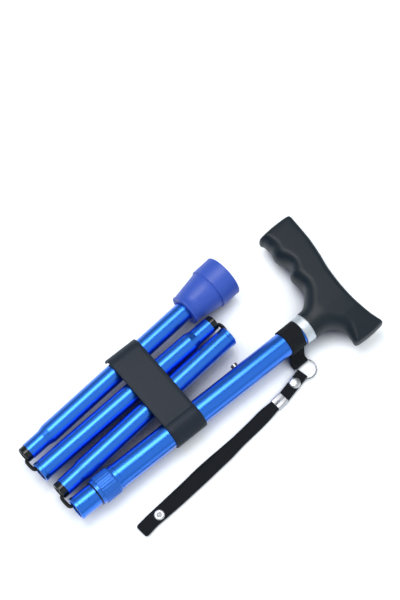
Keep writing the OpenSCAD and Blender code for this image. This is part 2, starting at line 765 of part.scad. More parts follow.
handle_grip();
handle_ferrule();
handle_tube();
upper_tube();
snap_button();
button_spring();
lock_sleeve();
lock_nut();
storage_clip();
upper_anchor();
upper_cord();
upper_loop();
second_tube();
second_plug();
second_cord();
second_loop();
third_tube();
third_plug();
third_cord();
third_loop();
tip_tube();
tip_plug();
tip_cord();
tip_anchor();
rubber_tip();
tip_washer();
strap_band();
split_ring();
strap_tab();
snap_cap();
snap_post();
strap_crimp();
wrist_strap();
strap_rivet();
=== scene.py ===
"""Folding cane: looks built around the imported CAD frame, in its frame and in metres."""
import json
import math

import bmesh
import bpy
import numpy as np
from mathutils import Matrix, Vector

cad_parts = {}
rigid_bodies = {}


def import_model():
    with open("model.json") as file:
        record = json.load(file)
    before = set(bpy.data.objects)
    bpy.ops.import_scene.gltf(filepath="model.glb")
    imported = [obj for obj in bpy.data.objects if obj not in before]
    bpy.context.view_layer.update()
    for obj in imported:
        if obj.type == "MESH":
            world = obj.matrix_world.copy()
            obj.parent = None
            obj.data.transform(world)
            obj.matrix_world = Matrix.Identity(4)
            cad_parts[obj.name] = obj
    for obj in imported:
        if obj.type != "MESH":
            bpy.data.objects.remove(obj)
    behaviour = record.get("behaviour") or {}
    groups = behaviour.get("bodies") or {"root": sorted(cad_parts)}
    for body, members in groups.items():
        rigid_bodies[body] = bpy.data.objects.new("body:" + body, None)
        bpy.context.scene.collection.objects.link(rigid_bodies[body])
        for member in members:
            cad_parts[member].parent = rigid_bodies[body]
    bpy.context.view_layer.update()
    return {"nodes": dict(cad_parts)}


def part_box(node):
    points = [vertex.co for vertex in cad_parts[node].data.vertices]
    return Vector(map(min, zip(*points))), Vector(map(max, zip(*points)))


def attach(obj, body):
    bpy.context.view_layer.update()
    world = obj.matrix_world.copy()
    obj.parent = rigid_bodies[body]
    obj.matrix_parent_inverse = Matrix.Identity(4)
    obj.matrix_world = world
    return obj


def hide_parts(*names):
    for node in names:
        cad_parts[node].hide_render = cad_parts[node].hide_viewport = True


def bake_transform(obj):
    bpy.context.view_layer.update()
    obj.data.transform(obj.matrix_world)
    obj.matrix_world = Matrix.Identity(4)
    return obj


MM = 0.001

# Places from the CAD model, in mm
SPLAY = math.radians(4.6)
AXIS_H = 19.0
FOLD_X = -155.072
UPPER_Y = -8.589
SECOND_Y = 11.911
THIRD_Y = 29.911
THIRD_LOW_Y = 34.700
TIP_Y = 54.700
SECTION_LEN = 196.0
GRIP_BASE = 252.0
BAND_AT = 224.3
RING_AT = 228.8
RING_DROP = 16.0
RING_R = 8.8
TAB_TURN = math.radians(8)
TAB_LEN = 23.0

scene = bpy.context.scene
for old in list(bpy.data.objects):
    bpy.data.objects.remove(old)

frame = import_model()
NODES = frame["nodes"]


# Frames of the sections and of the strap
def upper(w, a, z):
    """A point of the upper section: w along it from the socket, a across, z above its middle line."""
    x = FOLD_X + w * math.cos(SPLAY) + a * math.sin(SPLAY)
    y = UPPER_Y - w * math.sin(SPLAY) + a * math.cos(SPLAY)
    return Vector((x, y, AXIS_H + z))


def in_tip(w, a, z):
    """A point of the tip section, kept above the table."""
    return Vector((FOLD_X + w, TIP_Y + a, max(AXIS_H + z, 0.0)))


UP = Vector((0, 0, 1))
UPPER_WAY = (upper(1, 0, 0) - upper(0, 0, 0)).normalized()
RING_MID = upper(RING_AT, -RING_DROP - RING_R, -RING_DROP)
TAB_X = Vector((-math.cos(TAB_TURN), -math.sin(TAB_TURN), 0))
TAB_Y = Vector((math.sin(TAB_TURN), -math.cos(TAB_TURN), 0))
STRAP_FROM = RING_MID + TAB_X * (RING_R + TAB_LEN)
STRAP_X = Vector((-1, 0, 0))
STRAP_Y = Vector((0, -1, 0))


def on_strap(x, y, z):
    return STRAP_FROM + STRAP_X * x + STRAP_Y * y + UP * z


# Numbers and paths
def clamp(value):
    return min(max(value, 0), 1)


def ease(value, start, span):
    """A smooth step from 0 at start to 1 at start + span."""
    share = clamp((value - start) / span)
    return share * share * (3 - 2 * share)


def look_up(table, x):
    return float(np.interp(x, [row[0] for row in table], [row[1] for row in table]))


def smooth_path(points, steps):
    """Catmull-Rom curve through the points, open."""
    pts = np.array([tuple(p) for p in points], float)
    ext = np.vstack([2 * pts[0] - pts[1], pts, 2 * pts[-1] - pts[-2]])
    out = []
    for i in range(1, len(ext) - 2):
        p0, p1, p2, p3 = ext[i - 1], ext[i], ext[i + 1], ext[i + 2]
        for k in range(steps):
            t = k / steps
            out.append(0.5 * (2 * p1 + (p2 - p0) * t + (2 * p0 - 5 * p1 + 4 * p2 - p3) * t * t
                              + (3 * p1 - p0 - 3 * p2 + p3) * t ** 3))
    out.append(pts[-1])
    return np.array(out)


def tangent(pts, i):
    return (pts[min(i + 1, len(pts) - 1)] - pts[max(i - 1, 0)]).normalized()


def path_normals(points, side):
    """Normals of a flat path whose strip lies along side."""
    pts = [Vector(p) for p in points]
    return [tangent(pts, i).cross(side).normalized() for i in range(len(pts))]


# Meshes
def make_mesh(name, verts, faces, material, smooth=True):
    mesh = bpy.data.meshes.new(name)
    mesh.from_pydata([tuple(v) for v in verts], [], [tuple(f) for f in faces])
    mesh.validate()
    obj = bpy.data.objects.new(name, mesh)
    scene.collection.objects.link(obj)
    mesh.materials.append(material)
    if smooth:
        mesh.shade_smooth()
    return obj


def fix_normals(obj):
    bm = bmesh.new()
    bm.from_mesh(obj.data)
    bmesh.ops.recalc_face_normals(bm, faces=bm.faces)
    bm.to_mesh(obj.data)
    bm.free()


def ring_faces(rows, count, closed=True):
    """Quads between rows of count points, each row a ring; closed joins the last row to the first."""
    faces = []
    for k in range(rows if closed else rows - 1):
        a = k * count
        b = (k + 1) % rows * count
        for i in range(count):
            j = (i + 1) % count
            faces.append((a + i, a + j, b + j, b + i))
    return faces


def flat_section(width, thick, edge, across=8, corner=4):
    """Outline of a flat strip: rounded rectangle, points as (across, thickness)."""
    pts = []
    inner = width / 2 - edge
    half_t = thick / 2
    for side in (1, -1):
        for i in range(across + 1):
            pts.append((side * inner * (1 - 2 * i / across), side * half_t))
        for i in range(1, corner):
            turn = math.pi / 2 * (1 + 2 * i / corner)
            pts.append((side * (-inner + edge * math.cos(turn)), side * half_t * math.sin(turn)))
    return pts


def ribbon(name, centres, side, normals, widths, thick, edge, material, closed=False):
    """A strip swept along centres (mm). Its UV map holds mm along and across, for the weave."""
    count = len(centres)
    verts = []
    uv = []
    run = 0.0
    for k, centre in enumerate(centres):
        if k:
            run += (centre - centres[k - 1]).length
        for across, up in flat_section(widths[k], thick, edge):
            verts.append((centre + side * across + normals[k] * up) * MM)
            uv.append((run, across))
    ring = len(verts) // count
    faces = ring_faces(count, ring, closed)
    if not closed:
        faces.append(tuple(range(ring)))
        faces.append(tuple(reversed(range((count - 1) * ring, count * ring))))
    obj = make_mesh(name, verts, faces, material)
    layer = obj.data.uv_layers.new(name="weave")
    for loop in obj.data.loops:
        layer.data[loop.index].uv = uv[loop.vertex_index]
    fix_normals(obj)
    return obj


def tube_sweep(name, points, radius, material, sides=20, flat=1.0):
    """A cord along points (mm), flat times as thick as wide. Its UV map holds mm along and turns around."""
    pts = [Vector(p) for p in points]
    verts = []
    uv = []
    run = 0.0
    normal = None
    for k, point in enumerate(pts):
        along = tangent(pts, k)
        if normal is None:
            normal = along.cross(UP if abs(along.z) < 0.9 else Vector((1, 0, 0))).normalized()
        normal = (normal - along * normal.dot(along)).normalized()
        other = along.cross(normal)
        if k:
            run += (point - pts[k - 1]).length
        for i in range(sides):
            turn = 2 * math.pi * i / sides
            verts.append((point + (normal * math.cos(turn) * flat + other * math.sin(turn)) * radius) * MM)
            uv.append((run, i))
    faces = ring_faces(len(pts), sides, False)
    faces.append(tuple(reversed(range(sides))))
    faces.append(tuple(range((len(pts) - 1) * sides, len(pts) * sides)))
    obj = make_mesh(name, verts, faces, material)
    layer = obj.data.uv_layers.new(name="weave")
    for poly in obj.data.polygons:
        spots = [uv[obj.data.loops[i].vertex_index][1] for i in poly.loop_indices]
        wrap = len(spots) == 4 and max(spots) - min(spots) > 2
        for i in poly.loop_indices:
            along_mm, spot = uv[obj.data.loops[i].vertex_index]
            if wrap and spot == 0:
                spot = sides
            layer.data[i].uv = (along_mm, spot / sides)
    fix_normals(obj)
    return obj


def turned(name, rows, place, material, steps=96):
    """A ring turned on the axis of place: its section as rows of (radius, mm along the axis)."""
    verts = []
    for radius, w in rows:
        for i in range(steps):
            turn = 2 * math.pi * i / steps
            verts.append(place(w, radius * math.cos(turn), radius * math.sin(turn)) * MM)
    obj = make_mesh(name, verts, ring_faces(len(rows), steps), material)
    fix_normals(obj)
    return obj


def stand(node):
    """Foot of an upright node, its height and half its width, in mm."""
    low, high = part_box(node)
    foot = Vector(((low[0] + high[0]) / 2, (low[1] + high[1]) / 2, low[2])) / MM
    return foot, (high[2] - low[2]) / MM, (high[0] - low[0]) / 2 / MM


def lathe(name, foot, profile, material, steps=64):
    """An upright turned piece: profile as (radius, height above foot), from its top to its bottom middle."""
    verts = [foot + UP * profile[0][1]]
    for radius, height in profile[1:-1]:
        for i in range(steps):
            turn = 2 * math.pi * i / steps
            verts.append(foot + Vector((radius * math.cos(turn), radius * math.sin(turn), height)))
    verts.append(foot + UP * profile[-1][1])
    faces = []
    for i in range(steps):
        j = (i + 1) % steps
        faces.append((0, 1 + i, 1 + j))
        for k in range(len(profile) - 3):
            a = 1 + k * steps
            b = a + steps
            faces.append((a + i, b + i, b + j, a + j))
        last = 1 + (len(profile) - 3) * steps
        faces.append((last + i, len(verts) - 1, last + j))
    obj = make_mesh(name, [v * MM for v in verts], faces, material)
    fix_normals(obj)
    return obj


def finish_piece(obj, body, slot, *nodes):
    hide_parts(*nodes)
    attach(obj, body)


# Material nodes
def nodes_of(name):
    mat = bpy.data.materials.new(name)
    mat.use_nodes = True
    tree = mat.node_tree
    return mat, tree, tree.nodes["Principled BSDF"]


def link(tree, a, out, b, inp):
    tree.links.new(a.outputs[out], b.inputs[inp])


def grain(tree, scale, stretch, turn):
    """Noise stretched in the object's own space, turned about the upright axis."""
    coord = tree.nodes.new("ShaderNodeTexCoord")
    mapping = tree.nodes.new("ShaderNodeMapping")
    mapping.inputs["Scale"].default_value = stretch
    mapping.inputs["Rotation"].default_value = (0, 0, turn)
    noise = tree.nodes.new("ShaderNodeTexNoise")
    noise.inputs["Scale"].default_value = scale
    noise.inputs["Detail"].default_value = 4
    link(tree, coord, "Object", mapping, "Vector")
    link(tree, mapping, "Vector", noise, "Vector")
    return noise.outputs["Fac"]


def add_bump(tree, shader, source, strength, distance):
    bump = tree.nodes.new("ShaderNodeBump")
    bump.inputs["Strength"].default_value = strength
    bump.inputs["Distance"].default_value = distance
    tree.links.new(source, bump.inputs["Height"])
    link(tree, bump, "Normal", shader, "Normal")


def ramp(tree, source, low, high, start=0.0, stop=1.0):
    """From low where source is at start to high where it is at stop, and no further."""
    node = tree.nodes.new("ShaderNodeMapRange")
    node.inputs["From Min"].default_value = start
    node.inputs["From Max"].default_value = stop
    node.inputs["To Min"].default_value = low
    node.inputs["To Max"].default_value = high
    tree.links.new(source, node.inputs["Value"])
    return node.outputs["Result"]


def math_node(tree, kind, *values):
    node = tree.nodes.new("ShaderNodeMath")
    node.operation = kind
    for socket, value in zip(node.inputs, values):
        if isinstance(value, (int, float)):
            socket.default_value = value
        else:
            tree.links.new(value, socket)
    return node.outputs[0]


def wave(tree, source, factor):
    return math_node(tree, "SINE", math_node(tree, "MULTIPLY", source, factor))


def mix_colour(tree, shader, source, dark, light):
    mix = tree.nodes.new("ShaderNodeMix")
    mix.data_type = "RGBA"
    mix.inputs["A"].default_value = (*dark, 1)
    mix.inputs["B"].default_value = (*light, 1)
    tree.links.new(source, mix.inputs["Factor"])
    link(tree, mix, "Result", shader, "Base Color")


def tinted(base, share):
    return [c * share for c in base]


def weave_axes(tree):
    """Mm along a piece, and mm across it or turns around it, from its UV map."""
    uv_map = tree.nodes.new("ShaderNodeUVMap")
    uv_map.uv_map = "weave"
    split = tree.nodes.new("ShaderNodeSeparateXYZ")
    link(tree, uv_map, "UV", split, "Vector")
    return split.outputs["X"], split.outputs["Y"]


# Materials
def grained(name, base, rough, metallic=0.0, coat=0.0, coat_rough=0.1, scale=300, bump=0.0,
            spread=0.06, stretch=(1, 1, 1), turn=0.0, spec=0.5, vary=0.12):
    """A finish with fine procedural grain in its colour, roughness and surface."""
    mat, tree, shader = nodes_of(name)
    shader.inputs["Metallic"].default_value = metallic
    shader.inputs["Coat Weight"].default_value = coat
    shader.inputs["Coat Roughness"].default_value = coat_rough
    shader.inputs["Specular IOR Level"].default_value = spec
    noise = grain(tree, scale, stretch, turn)
    mix_colour(tree, shader, noise, tinted(base, 1 - vary), tinted(base, 1 + vary))
    tree.links.new(ramp(tree, noise, rough - spread, rough + spread), shader.inputs["Roughness"])
    if bump:
        add_bump(tree, shader, noise, bump, 0.2 * MM)
    return mat


def woven(name, base, rib, pick, strength):
    """Webbing: lengthwise ribs crossed by picks that step by half from rib to rib."""
    mat, tree, shader = nodes_of(name)
    shader.inputs["Specular IOR Level"].default_value = 0.25
    shader.inputs["Roughness"].default_value = 0.78
    along_mm, across_mm = weave_axes(tree)
    across = math_node(tree, "DIVIDE", across_mm, rib)
    along = math_node(tree, "DIVIDE", along_mm, pick)
    rib_number = math_node(tree, "FLOOR", math_node(tree, "ADD", across, 100))
    parity = math_node(tree, "MODULO", rib_number, 2)
    shifted = math_node(tree, "ADD", along, math_node(tree, "MULTIPLY", parity, 0.5))
    ribs = math_node(tree, "ABSOLUTE", wave(tree, across, math.pi))
    picks = math_node(tree, "ABSOLUTE", wave(tree, shifted, math.pi))
    height = math_node(tree, "MULTIPLY", math_node(tree, "POWER", ribs, 0.5),
                       math_node(tree, "ADD", math_node(tree, "MULTIPLY", picks, 0.45), 0.55))
    # Painted shade and highlight: by height, the weave's valleys are coloured darker and its crowns lighter
    mix_colour(tree, shader, height, tinted(base, 0.3), tinted(base, 1.6))
    add_bump(tree, shader, height, strength, 0.4 * MM)
    return mat


def braided(name, base, lay, strands):
    """Round braid: two opposed sets of strands."""
    mat, tree, shader = nodes_of(name)
    shader.inputs["Specular IOR Level"].default_value = 0.3
    shader.inputs["Roughness"].default_value = 0.6
    along_mm, around = weave_axes(tree)
    along = math_node(tree, "DIVIDE", along_mm, lay)
    turns = math_node(tree, "MULTIPLY", around, strands)
    one = wave(tree, math_node(tree, "ADD", turns, along), 2 * math.pi)
    two = wave(tree, math_node(tree, "SUBTRACT", turns, along), 2 * math.pi)
    height = ramp(tree, math_node(tree, "MAXIMUM", one, two), 0, 1)
    # Painted shade and highlight: by height, the strands' hollows are coloured darker and their crowns
    # lighter
    mix_colour(tree, shader, height, tinted(base, 0.5), tinted(base, 1.4))
    add_bump(tree, shader, height, 0.5, 0.4 * MM)
    return mat


BLUE = (0.012, 0.172, 0.790)
CORD_BLACK = (0.008, 0.009, 0.011)
DRAWN = (0.05, 1, 1)
ANODISED = {"metallic": 1, "coat": 0.7, "coat_rough": 0.24, "spread": 0.03, "stretch": DRAWN, "vary": 0.05}
tube_mat = grained("blue_anodised", BLUE, 0.30, **ANODISED)
upper_tube_mat = grained("blue_anodised_upper", BLUE, 0.30, turn=SPLAY, **ANODISED)
lock_mat = grained("blue_gloss", (0.018, 0.170, 0.740), 0.34, metallic=0.75, coat=0.5, coat_rough=0.2,
                   spread=0.04)
nut_mat = grained("blue_matt", (0.022, 0.165, 0.700), 0.46, metallic=0.55, coat=0.15, coat_rough=0.3,
                  spread=0.04)
grip_mat = grained("grip_charcoal", (0.004, 0.012, 0.021), 0.47, scale=900, bump=0.08, spread=0.05, spec=0.36)
clip_mat = grained("clip_grey", (0.011, 0.019, 0.033), 0.50, scale=800, bump=0.10, spec=0.25)
plug_mat = grained("plug_black", (0.003, 0.004, 0.005), 0.15, scale=500, bump=0.05, spread=0.05, spec=0.4)
rubber_mat = grained("tip_rubber", (0.028, 0.094, 0.560), 0.46, scale=700, bump=0.10, spec=0.6)
chrome_mat = grained("chrome", (0.66, 0.67, 0.69), 0.20, metallic=1, bump=0.02, spread=0.04)
satin_mat = grained("satin_nickel", (0.56, 0.57, 0.59), 0.46, metallic=1, bump=0.03)
steel_mat = grained("steel", (0.25, 0.26, 0.28), 0.18, metallic=1, bump=0.03)
ferrule_mat = grained("ferrule_metal", (0.68, 0.73, 0.78), 0.58, metallic=1, scale=1500, bump=0.25,
                      spread=0.10, stretch=(0.04, 1, 1), turn=SPLAY, vary=0.2)
cap_mat = grained("cap_nickel", (0.62, 0.63, 0.65), 0.28, metallic=1, bump=0.02, spread=0.04)
web_mat = woven("webbing", (0.0055, 0.0070, 0.0100), 1.9, 1.5, 0.8)
cord_mat = braided("cord_braid", CORD_BLACK, 3.2, 8)
cord_plain = grained("cord", CORD_BLACK, 0.6, scale=1500, bump=0.4, spread=0.08)

LOOKS = [
    (tube_mat, ["second_tube", "third_tube", "tip_tube"]),
    (upper_tube_mat, ["handle_tube", "upper_tube"]),
    (lock_mat, ["lock_sleeve", "lock_nut"]),
    (grip_mat, ["handle_grip"]),
    (ferrule_mat, ["handle_ferrule"]),
    (clip_mat, ["storage_clip"]),
    (plug_mat, ["second_plug", "third_plug", "tip_plug", "upper_anchor", "tip_anchor"]),
    (rubber_mat, ["rubber_tip"]),
    (steel_mat, ["snap_button", "button_spring", "tip_washer"]),
    (chrome_mat, ["split_ring", "snap_cap", "snap_post", "strap_crimp", "strap_rivet"]),
    (web_mat, ["strap_band", "strap_tab", "wrist_strap"]),
    (cord_plain, ["upper_cord", "second_cord", "third_cord", "tip_cord"]),
    (cord_plain, ["upper_loop", "second_loop", "third_loop"]),
]
for material, node_names in LOOKS:
    for node_name in node_names:
        data = NODES[node_name].data
        data.materials.clear()
        data.materials.append(material)


# Grip: outline in the plane of the handle, as (a across, h above the foot, softness of the edge there)
GRIP_OUTLINE = [
    (12.9, -2.6, 12), (12.8, 1, 12), (13.5, 4.3, 12), (15.3, 7.5, 12), (17.9, 10.5, 12),
    (20.9, 13.4, 11.5), (24.5, 16.5, 10), (28.7, 18.4, 8.5), (33.3, 17.7, 9), (37.3, 16.9, 11),
    (40.1, 16.6, 12), (43.4, 17.5, 11.5), (46.5, 20.6, 8.8), (50.3, 22.9, 7.2), (54.4, 21.9, 8),
    (58.3, 19.4, 10), (61.6, 18.2, 11.5), (65.1, 17.8, 12), (69.2, 18.9, 10.5), (73, 20.3, 9),
    (77, 20.1, 9), (81.3, 19.8, 8.5), (84, 18.4, 6.5), (86.2, 18.7, 5), (86.4, 22, 4), (87.2, 30, 4),
    (87.5, 38, 4), (87.4, 46, 4), (87, 50, 4), (86.1, 52.5, 4.5), (83, 53.7, 4.5), (78.2, 53.5, 5),
    (70.2, 53.1, 5), (56.3, 52, 5), (40.3, 49.3, 5), (26.3, 46.2, 5), (8.2, 44.1, 5), (-9.2, 44.1, 5),
    (-25.5, 46.6, 4.8), (-34.6, 49.2, 4), (-38.2, 49.9, 3.2), (-39.8, 49, 2.2), (-40, 47, 1.8),
    (-41, 36, 1.8), (-40.8, 25, 1.8), (-40.1, 20.6, 2.2), (-38.5, 18.3, 3.5), (-33.9, 18.9, 7),
    (-29.1, 19.7, 9), (-24.3, 19.9, 10), (-19.6, 17.6, 11), (-15.7, 13.7, 12), (-13.2, 9.3, 12),
    (-12.7, 4.8, 12), (-12.8, 1, 12), (-12.9, -2.6, 12),
]
# Half the thickness of the arms, as (a, half thickness)
GRIP_HALF_T = [
    (-40.7, 6.4), (-30, 9.6), (-15, 13.4), (0, 14.8), (20, 14.9), (50, 14.5), (80, 13.8), (87, 13.2),
]
GRIP_FOOT = -2.6
GRIP_NECK = 12.9
GRIP_NECK_H = 16
GRIP_FOOT_SOFT = 12
GRIP_POWER = 2.2
GRIP_STEP = 1.0
GRIP_GRID = ((-44, 91), (-6, 58), (-18, 18.01))


def surface_net(field, origin, step):
    """Quads on the zero level of a 3-D array, negative inside."""
    size = field.shape
    corners = [(i, j, k) for i in (0, 1) for j in (0, 1) for k in (0, 1)]
    shifted = [field[i:size[0] - 1 + i, j:size[1] - 1 + j, k:size[2] - 1 + k] for i, j, k in corners]
    values = np.stack(shifted, -1)
    inside = (values < 0).sum(-1)
    active = (inside > 0) & (inside < 8)
    index = np.full(active.shape, -1)
    index[active] = np.arange(active.sum())
    cell_values = values[active]
    total = np.zeros((len(cell_values), 3))
    hits = np.zeros(len(cell_values))
    for p in range(8):
        for q in range(p + 1, 8):
            if sum(abs(x - y) for x, y in zip(corners[p], corners[q])) != 1:
                continue
            cut = (cell_values[:, p] < 0) != (cell_values[:, q] < 0)
            share = cell_values[cut, p] / (cell_values[cut, p] - cell_values[cut, q])
            a, b = np.array(corners[p]), np.array(corners[q])
            total[cut] += a + share[:, None] * (b - a)
            hits[cut] += 1
    verts = origin + step * (np.argwhere(active) + total / hits[:, None])
    faces = []
    for axis in range(3):
        u, v = [n for n in range(3) if n != axis]
        low = np.take(field, range(size[axis] - 1), axis)
        high = np.take(field, range(1, size[axis]), axis)
        for cell in np.argwhere((low < 0) != (high < 0)):
            quad = []
            for du, dv in ((-1, -1), (0, -1), (0, 0), (-1, 0)):
                spot = cell.copy()
                spot[u] += du
                spot[v] += dv
                quad.append(index[tuple(spot)])
            faces.append(quad)
    return verts, faces


def grip_plan(a, h):
    """Distance to the grip's outline, negative inside, and the softness of the edge near each point."""
    outline = smooth_path(GRIP_OUTLINE, 10)
    start = outline[:-1, :2]
    run = outline[1:, :2] - start
    best = np.full(len(a), 1e9)
    weight = np.zeros(len(a))
    soft = np.zeros(len(a))
    inside = np.zeros(len(a), bool)
    for (sx, sy), (rx, ry), edge in zip(start, run, outline[:-1, 2]):
        square = rx * rx + ry * ry
        t = np.clip(((a - sx) * rx + (h - sy) * ry) / square, 0, 1)
        away = np.hypot(a - sx - t * rx, h - sy - t * ry)
        best = np.minimum(best, away)
        share = math.sqrt(square) / (away + 0.3) ** 4
        weight += share
        soft += share * edge
        crosses = (sy > h) != (sy + ry > h)
        side = sx + (h - sy) * rx / (ry if ry else 1e-9) > a
        inside ^= crosses & side
    below = (h < GRIP_FOOT) & (np.abs(a) < GRIP_NECK)
    inside |= below
    best = np.where(below, GRIP_NECK - np.abs(a), best)
    return np.where(inside, -best, best), soft / weight


def make_grip():
    grids = [np.arange(low, high, GRIP_STEP) for low, high in GRIP_GRID]
    a_grid, h_grid, z_grid = grids
    a, h = [axis.ravel() for axis in np.meshgrid(a_grid, h_grid, indexing="ij")]
    distance, soft = grip_plan(a, h)
    arms = np.interp(a, *zip(*GRIP_HALF_T))
    rise = np.clip(h / GRIP_NECK_H, 0, 1)
    rise = rise * rise * (3 - 2 * rise)
    half_t = GRIP_NECK + (arms - GRIP_NECK) * rise
    side_share = np.clip(1 + distance / soft, 0, None)[:, None]
    level = np.abs(z_grid)[None, :] / half_t[:, None]
    field = (side_share ** GRIP_POWER + level ** GRIP_POWER) ** (1 / GRIP_POWER) - 1
    field = np.maximum(field, ((GRIP_FOOT - h) / GRIP_FOOT_SOFT)[:, None])
    field = field.reshape([len(grid) for grid in grids])
    verts, faces = surface_net(field, np.array([grid[0] for grid in grids]), GRIP_STEP)
    points = [upper(GRIP_BASE + up, across, z) * MM for across, up, z in verts]
    obj = make_mesh("grip_moulded", points, faces, grip_mat)
    fix_normals(obj)
    relax = obj.modifiers.new("relax", "SMOOTH")
    relax.factor = 0.5
    relax.iterations = 4
    finish_piece(obj, "handle", "grip_plastic", "handle_grip")


make_grip()

# Storage clip: hook round the upper section, bowed plate, lip over the tip section
CLIP_START = 97.6
CLIP_W = 31.4
CLIP_T = 1.8
CLIP_EDGE = 0.6
CLIP_FAR = 72.61
CLIP_HOOK_R = 12.0
CLIP_HOOK_TURN = (294, 64)
CLIP_PLATE_H = 10.85
CLIP_BOW = 0.45
CLIP_LIP_R = 11.36
CLIP_LIP_TURN = (92, -5)


def arc(middle, radius, turns, count):
    """Points on an arc round (middle, 0), between two angles in degrees."""
    points = []
    for i in range(count):
        turn = math.radians(turns[0] + (turns[1] - turns[0]) * i / (count - 1))
        points.append((middle + radius * math.cos(turn), radius * math.sin(turn)))
    return points


def make_clip():
    points = arc(0, CLIP_HOOK_R, CLIP_HOOK_TURN, 40)
    plate_from = points[-1][0]
    for share in (0.06, 0.15, 0.3, 0.5, 0.7, 0.85, 0.94):
        bow = CLIP_BOW * math.sin(math.pi * share) ** 0.8
        height = CLIP_PLATE_H + (CLIP_LIP_R - CLIP_PLATE_H) * share + bow
        points.append((plate_from + (CLIP_FAR - plate_from) * share, height))
    points += arc(CLIP_FAR, CLIP_LIP_R, CLIP_LIP_TURN, 16)
    centres = [upper(CLIP_START + CLIP_W / 2, a, z) for a, z in smooth_path(points, 2)]
    normals = path_normals(centres, UPPER_WAY)
    widths = [CLIP_W] * len(centres)
    obj = ribbon("clip_moulded", centres, UPPER_WAY, normals, widths, CLIP_T, CLIP_EDGE, clip_mat)
    finish_piece(obj, "storage_clip", "clip_plastic", "storage_clip")


make_clip()

# Webbing: thickness, soft edge, and half the pitch of two layers that lie on each other
WEB_T = 1.0
WEB_EDGE = 0.4
LAYER_GAP = 0.62


def eye_end(path, end_gap, opening):
    """Both layers of a folded strip: along the middle path, round its end and back, opened for the wire."""
    pts = [Vector((p[0], 0, p[1])) for p in path]
    run = [0.0]
    for a, b in zip(pts, pts[1:]):
        run.append(run[-1] + (b - a).length)
    there = []
    back = []
    for i, point in enumerate(pts):
        along = tangent(pts, i)
        off = Vector((-along.z, 0, along.x))
        half_gap = LAYER_GAP + (end_gap - LAYER_GAP) * ease(run[i], run[-1] - opening, opening * 0.6)
        there.append(point + off * half_gap)
        back.append(point - off * half_gap)
    turn = []
    for i in range(1, 8):
        angle = math.pi / 2 - math.pi * i / 8
        turn.append(pts[-1] + off * end_gap * math.sin(angle) + along * end_gap * math.cos(angle))
    return [(q.x, q.z) for q in there + turn + back[::-1]]


# Band: round the handle tube, then both layers down to the ring. It narrows towards the ferrule and the ring
BAND_R = 11.6
BAND_W = 17.1
BAND_SIDE_W = 15.2
BAND_TAB_W = 14.6
BAND_TAB_AT = RING_AT - 0.6
BAND_LEAVE = 0.21
BAND_DROP = [(-9.6, -9.6), (-11.4, -11.6), (-13.0, -13.8), (-14.5, -15.2), (-15.8, -15.8), (-17.0, -16.0),
             (-18.0, -16.0)]


def make_band():
    path = eye_end(smooth_path(BAND_DROP, 4), 1.3, 7.0)
    for i in range(61):
        turn = math.radians(225) - BAND_LEAVE - (2 * math.pi - 2 * BAND_LEAVE) * i / 60
        path.append((BAND_R * math.cos(turn), BAND_R * math.sin(turn)))
    centres = []
    widths = []
    flat = []
    for a, z in path:
        share = clamp((math.hypot(a, z) - 12.2) / 9.0)
        wide = BAND_SIDE_W + (BAND_W - BAND_SIDE_W) * ease(a, -11, 12)
        middle = BAND_AT + wide / 2
        widths.append(wide + (BAND_TAB_W - wide) * share)
        centres.append(upper(middle + (BAND_TAB_AT - middle) * share, a, z))
        flat.append(upper(0, a, z))
    normals = path_normals(flat[-1:] + flat + flat[:1], UPPER_WAY)[1:-1]
    obj = ribbon("band_webbing", centres, UPPER_WAY, normals, widths, WEB_T, WEB_EDGE, web_mat, closed=True)
    finish_piece(obj, "strap_band", "webbing", "strap_band")


make_band()

# Tab: from the ring's wire to the crimp, doubled
TAB_W = 10.0
TAB_NEAR = 6.4
TAB_FAR = RING_R + TAB_LEN + 1.4


def make_tab():
    path = [(TAB_FAR - (TAB_FAR - TAB_NEAR) * i / 24, 0) for i in range(25)]
    centres = [RING_MID + TAB_X * p + UP * q for p, q in eye_end(path, 1.35, 8.0)]
    normals = path_normals(centres, TAB_Y)
    widths = [TAB_W] * len(centres)
    obj = ribbon("tab_webbing", centres, TAB_Y, normals, widths, WEB_T, WEB_EDGE, web_mat)
    finish_piece(obj, "wrist_strap", "webbing", "strap_tab")


make_tab()

# Wrist strap: one strip folded back on itself at the far end. The tables give, by mm from the crimp's near
# end, how far its two runs stray from a straight line, how wide each is and how far they lie apart
STRAP_SWAY = [
    (5, 0), (20, 0.03), (26, 0.04), (34, 0.35), (44, 0.46), (56, 0.46), (70, 0.55), (84, 0.19),
    (98, 0.03), (112, 0.05), (126, -0.09), (136, -0.33), (142, -0.46), (148, -0.64), (154, -0.82),
    (160, -0.51), (166, -0.23),
]
STRAP_WIDTHS = [
    (5, 8.8), (11.2, 8.9), (16, 10.2), (20, 11), (25, 11.6), (30, 11.7), (40, 11.4), (50, 11.4), (60, 11.6),
    (166, 11.6),
]
STRAP_SPREAD = [
    (5, 0), (50, 0), (60, 0.6), (70, 1.7), (80, 2.1), (90, 2.7), (100, 2.8), (112, 2.3), (122, 2.3),
    (130, 1.9), (138, 1.7), (146, 1.3), (152, 1), (158, 1.1), (166, 1.5),
]
STRAP_STATIONS = [
    5.2, 8, 11.2, 13, 15, 18, 21, 24, 27, 34, 44, 56, 70, 84, 98, 112, 126, 136, 142, 146.5, 150, 154, 158,
    161, 163.6, 165.0, 165.6,
]
STRAP_T = 1.16
STRAP_EDGE = 0.45
STRAP_DROP = 1.05


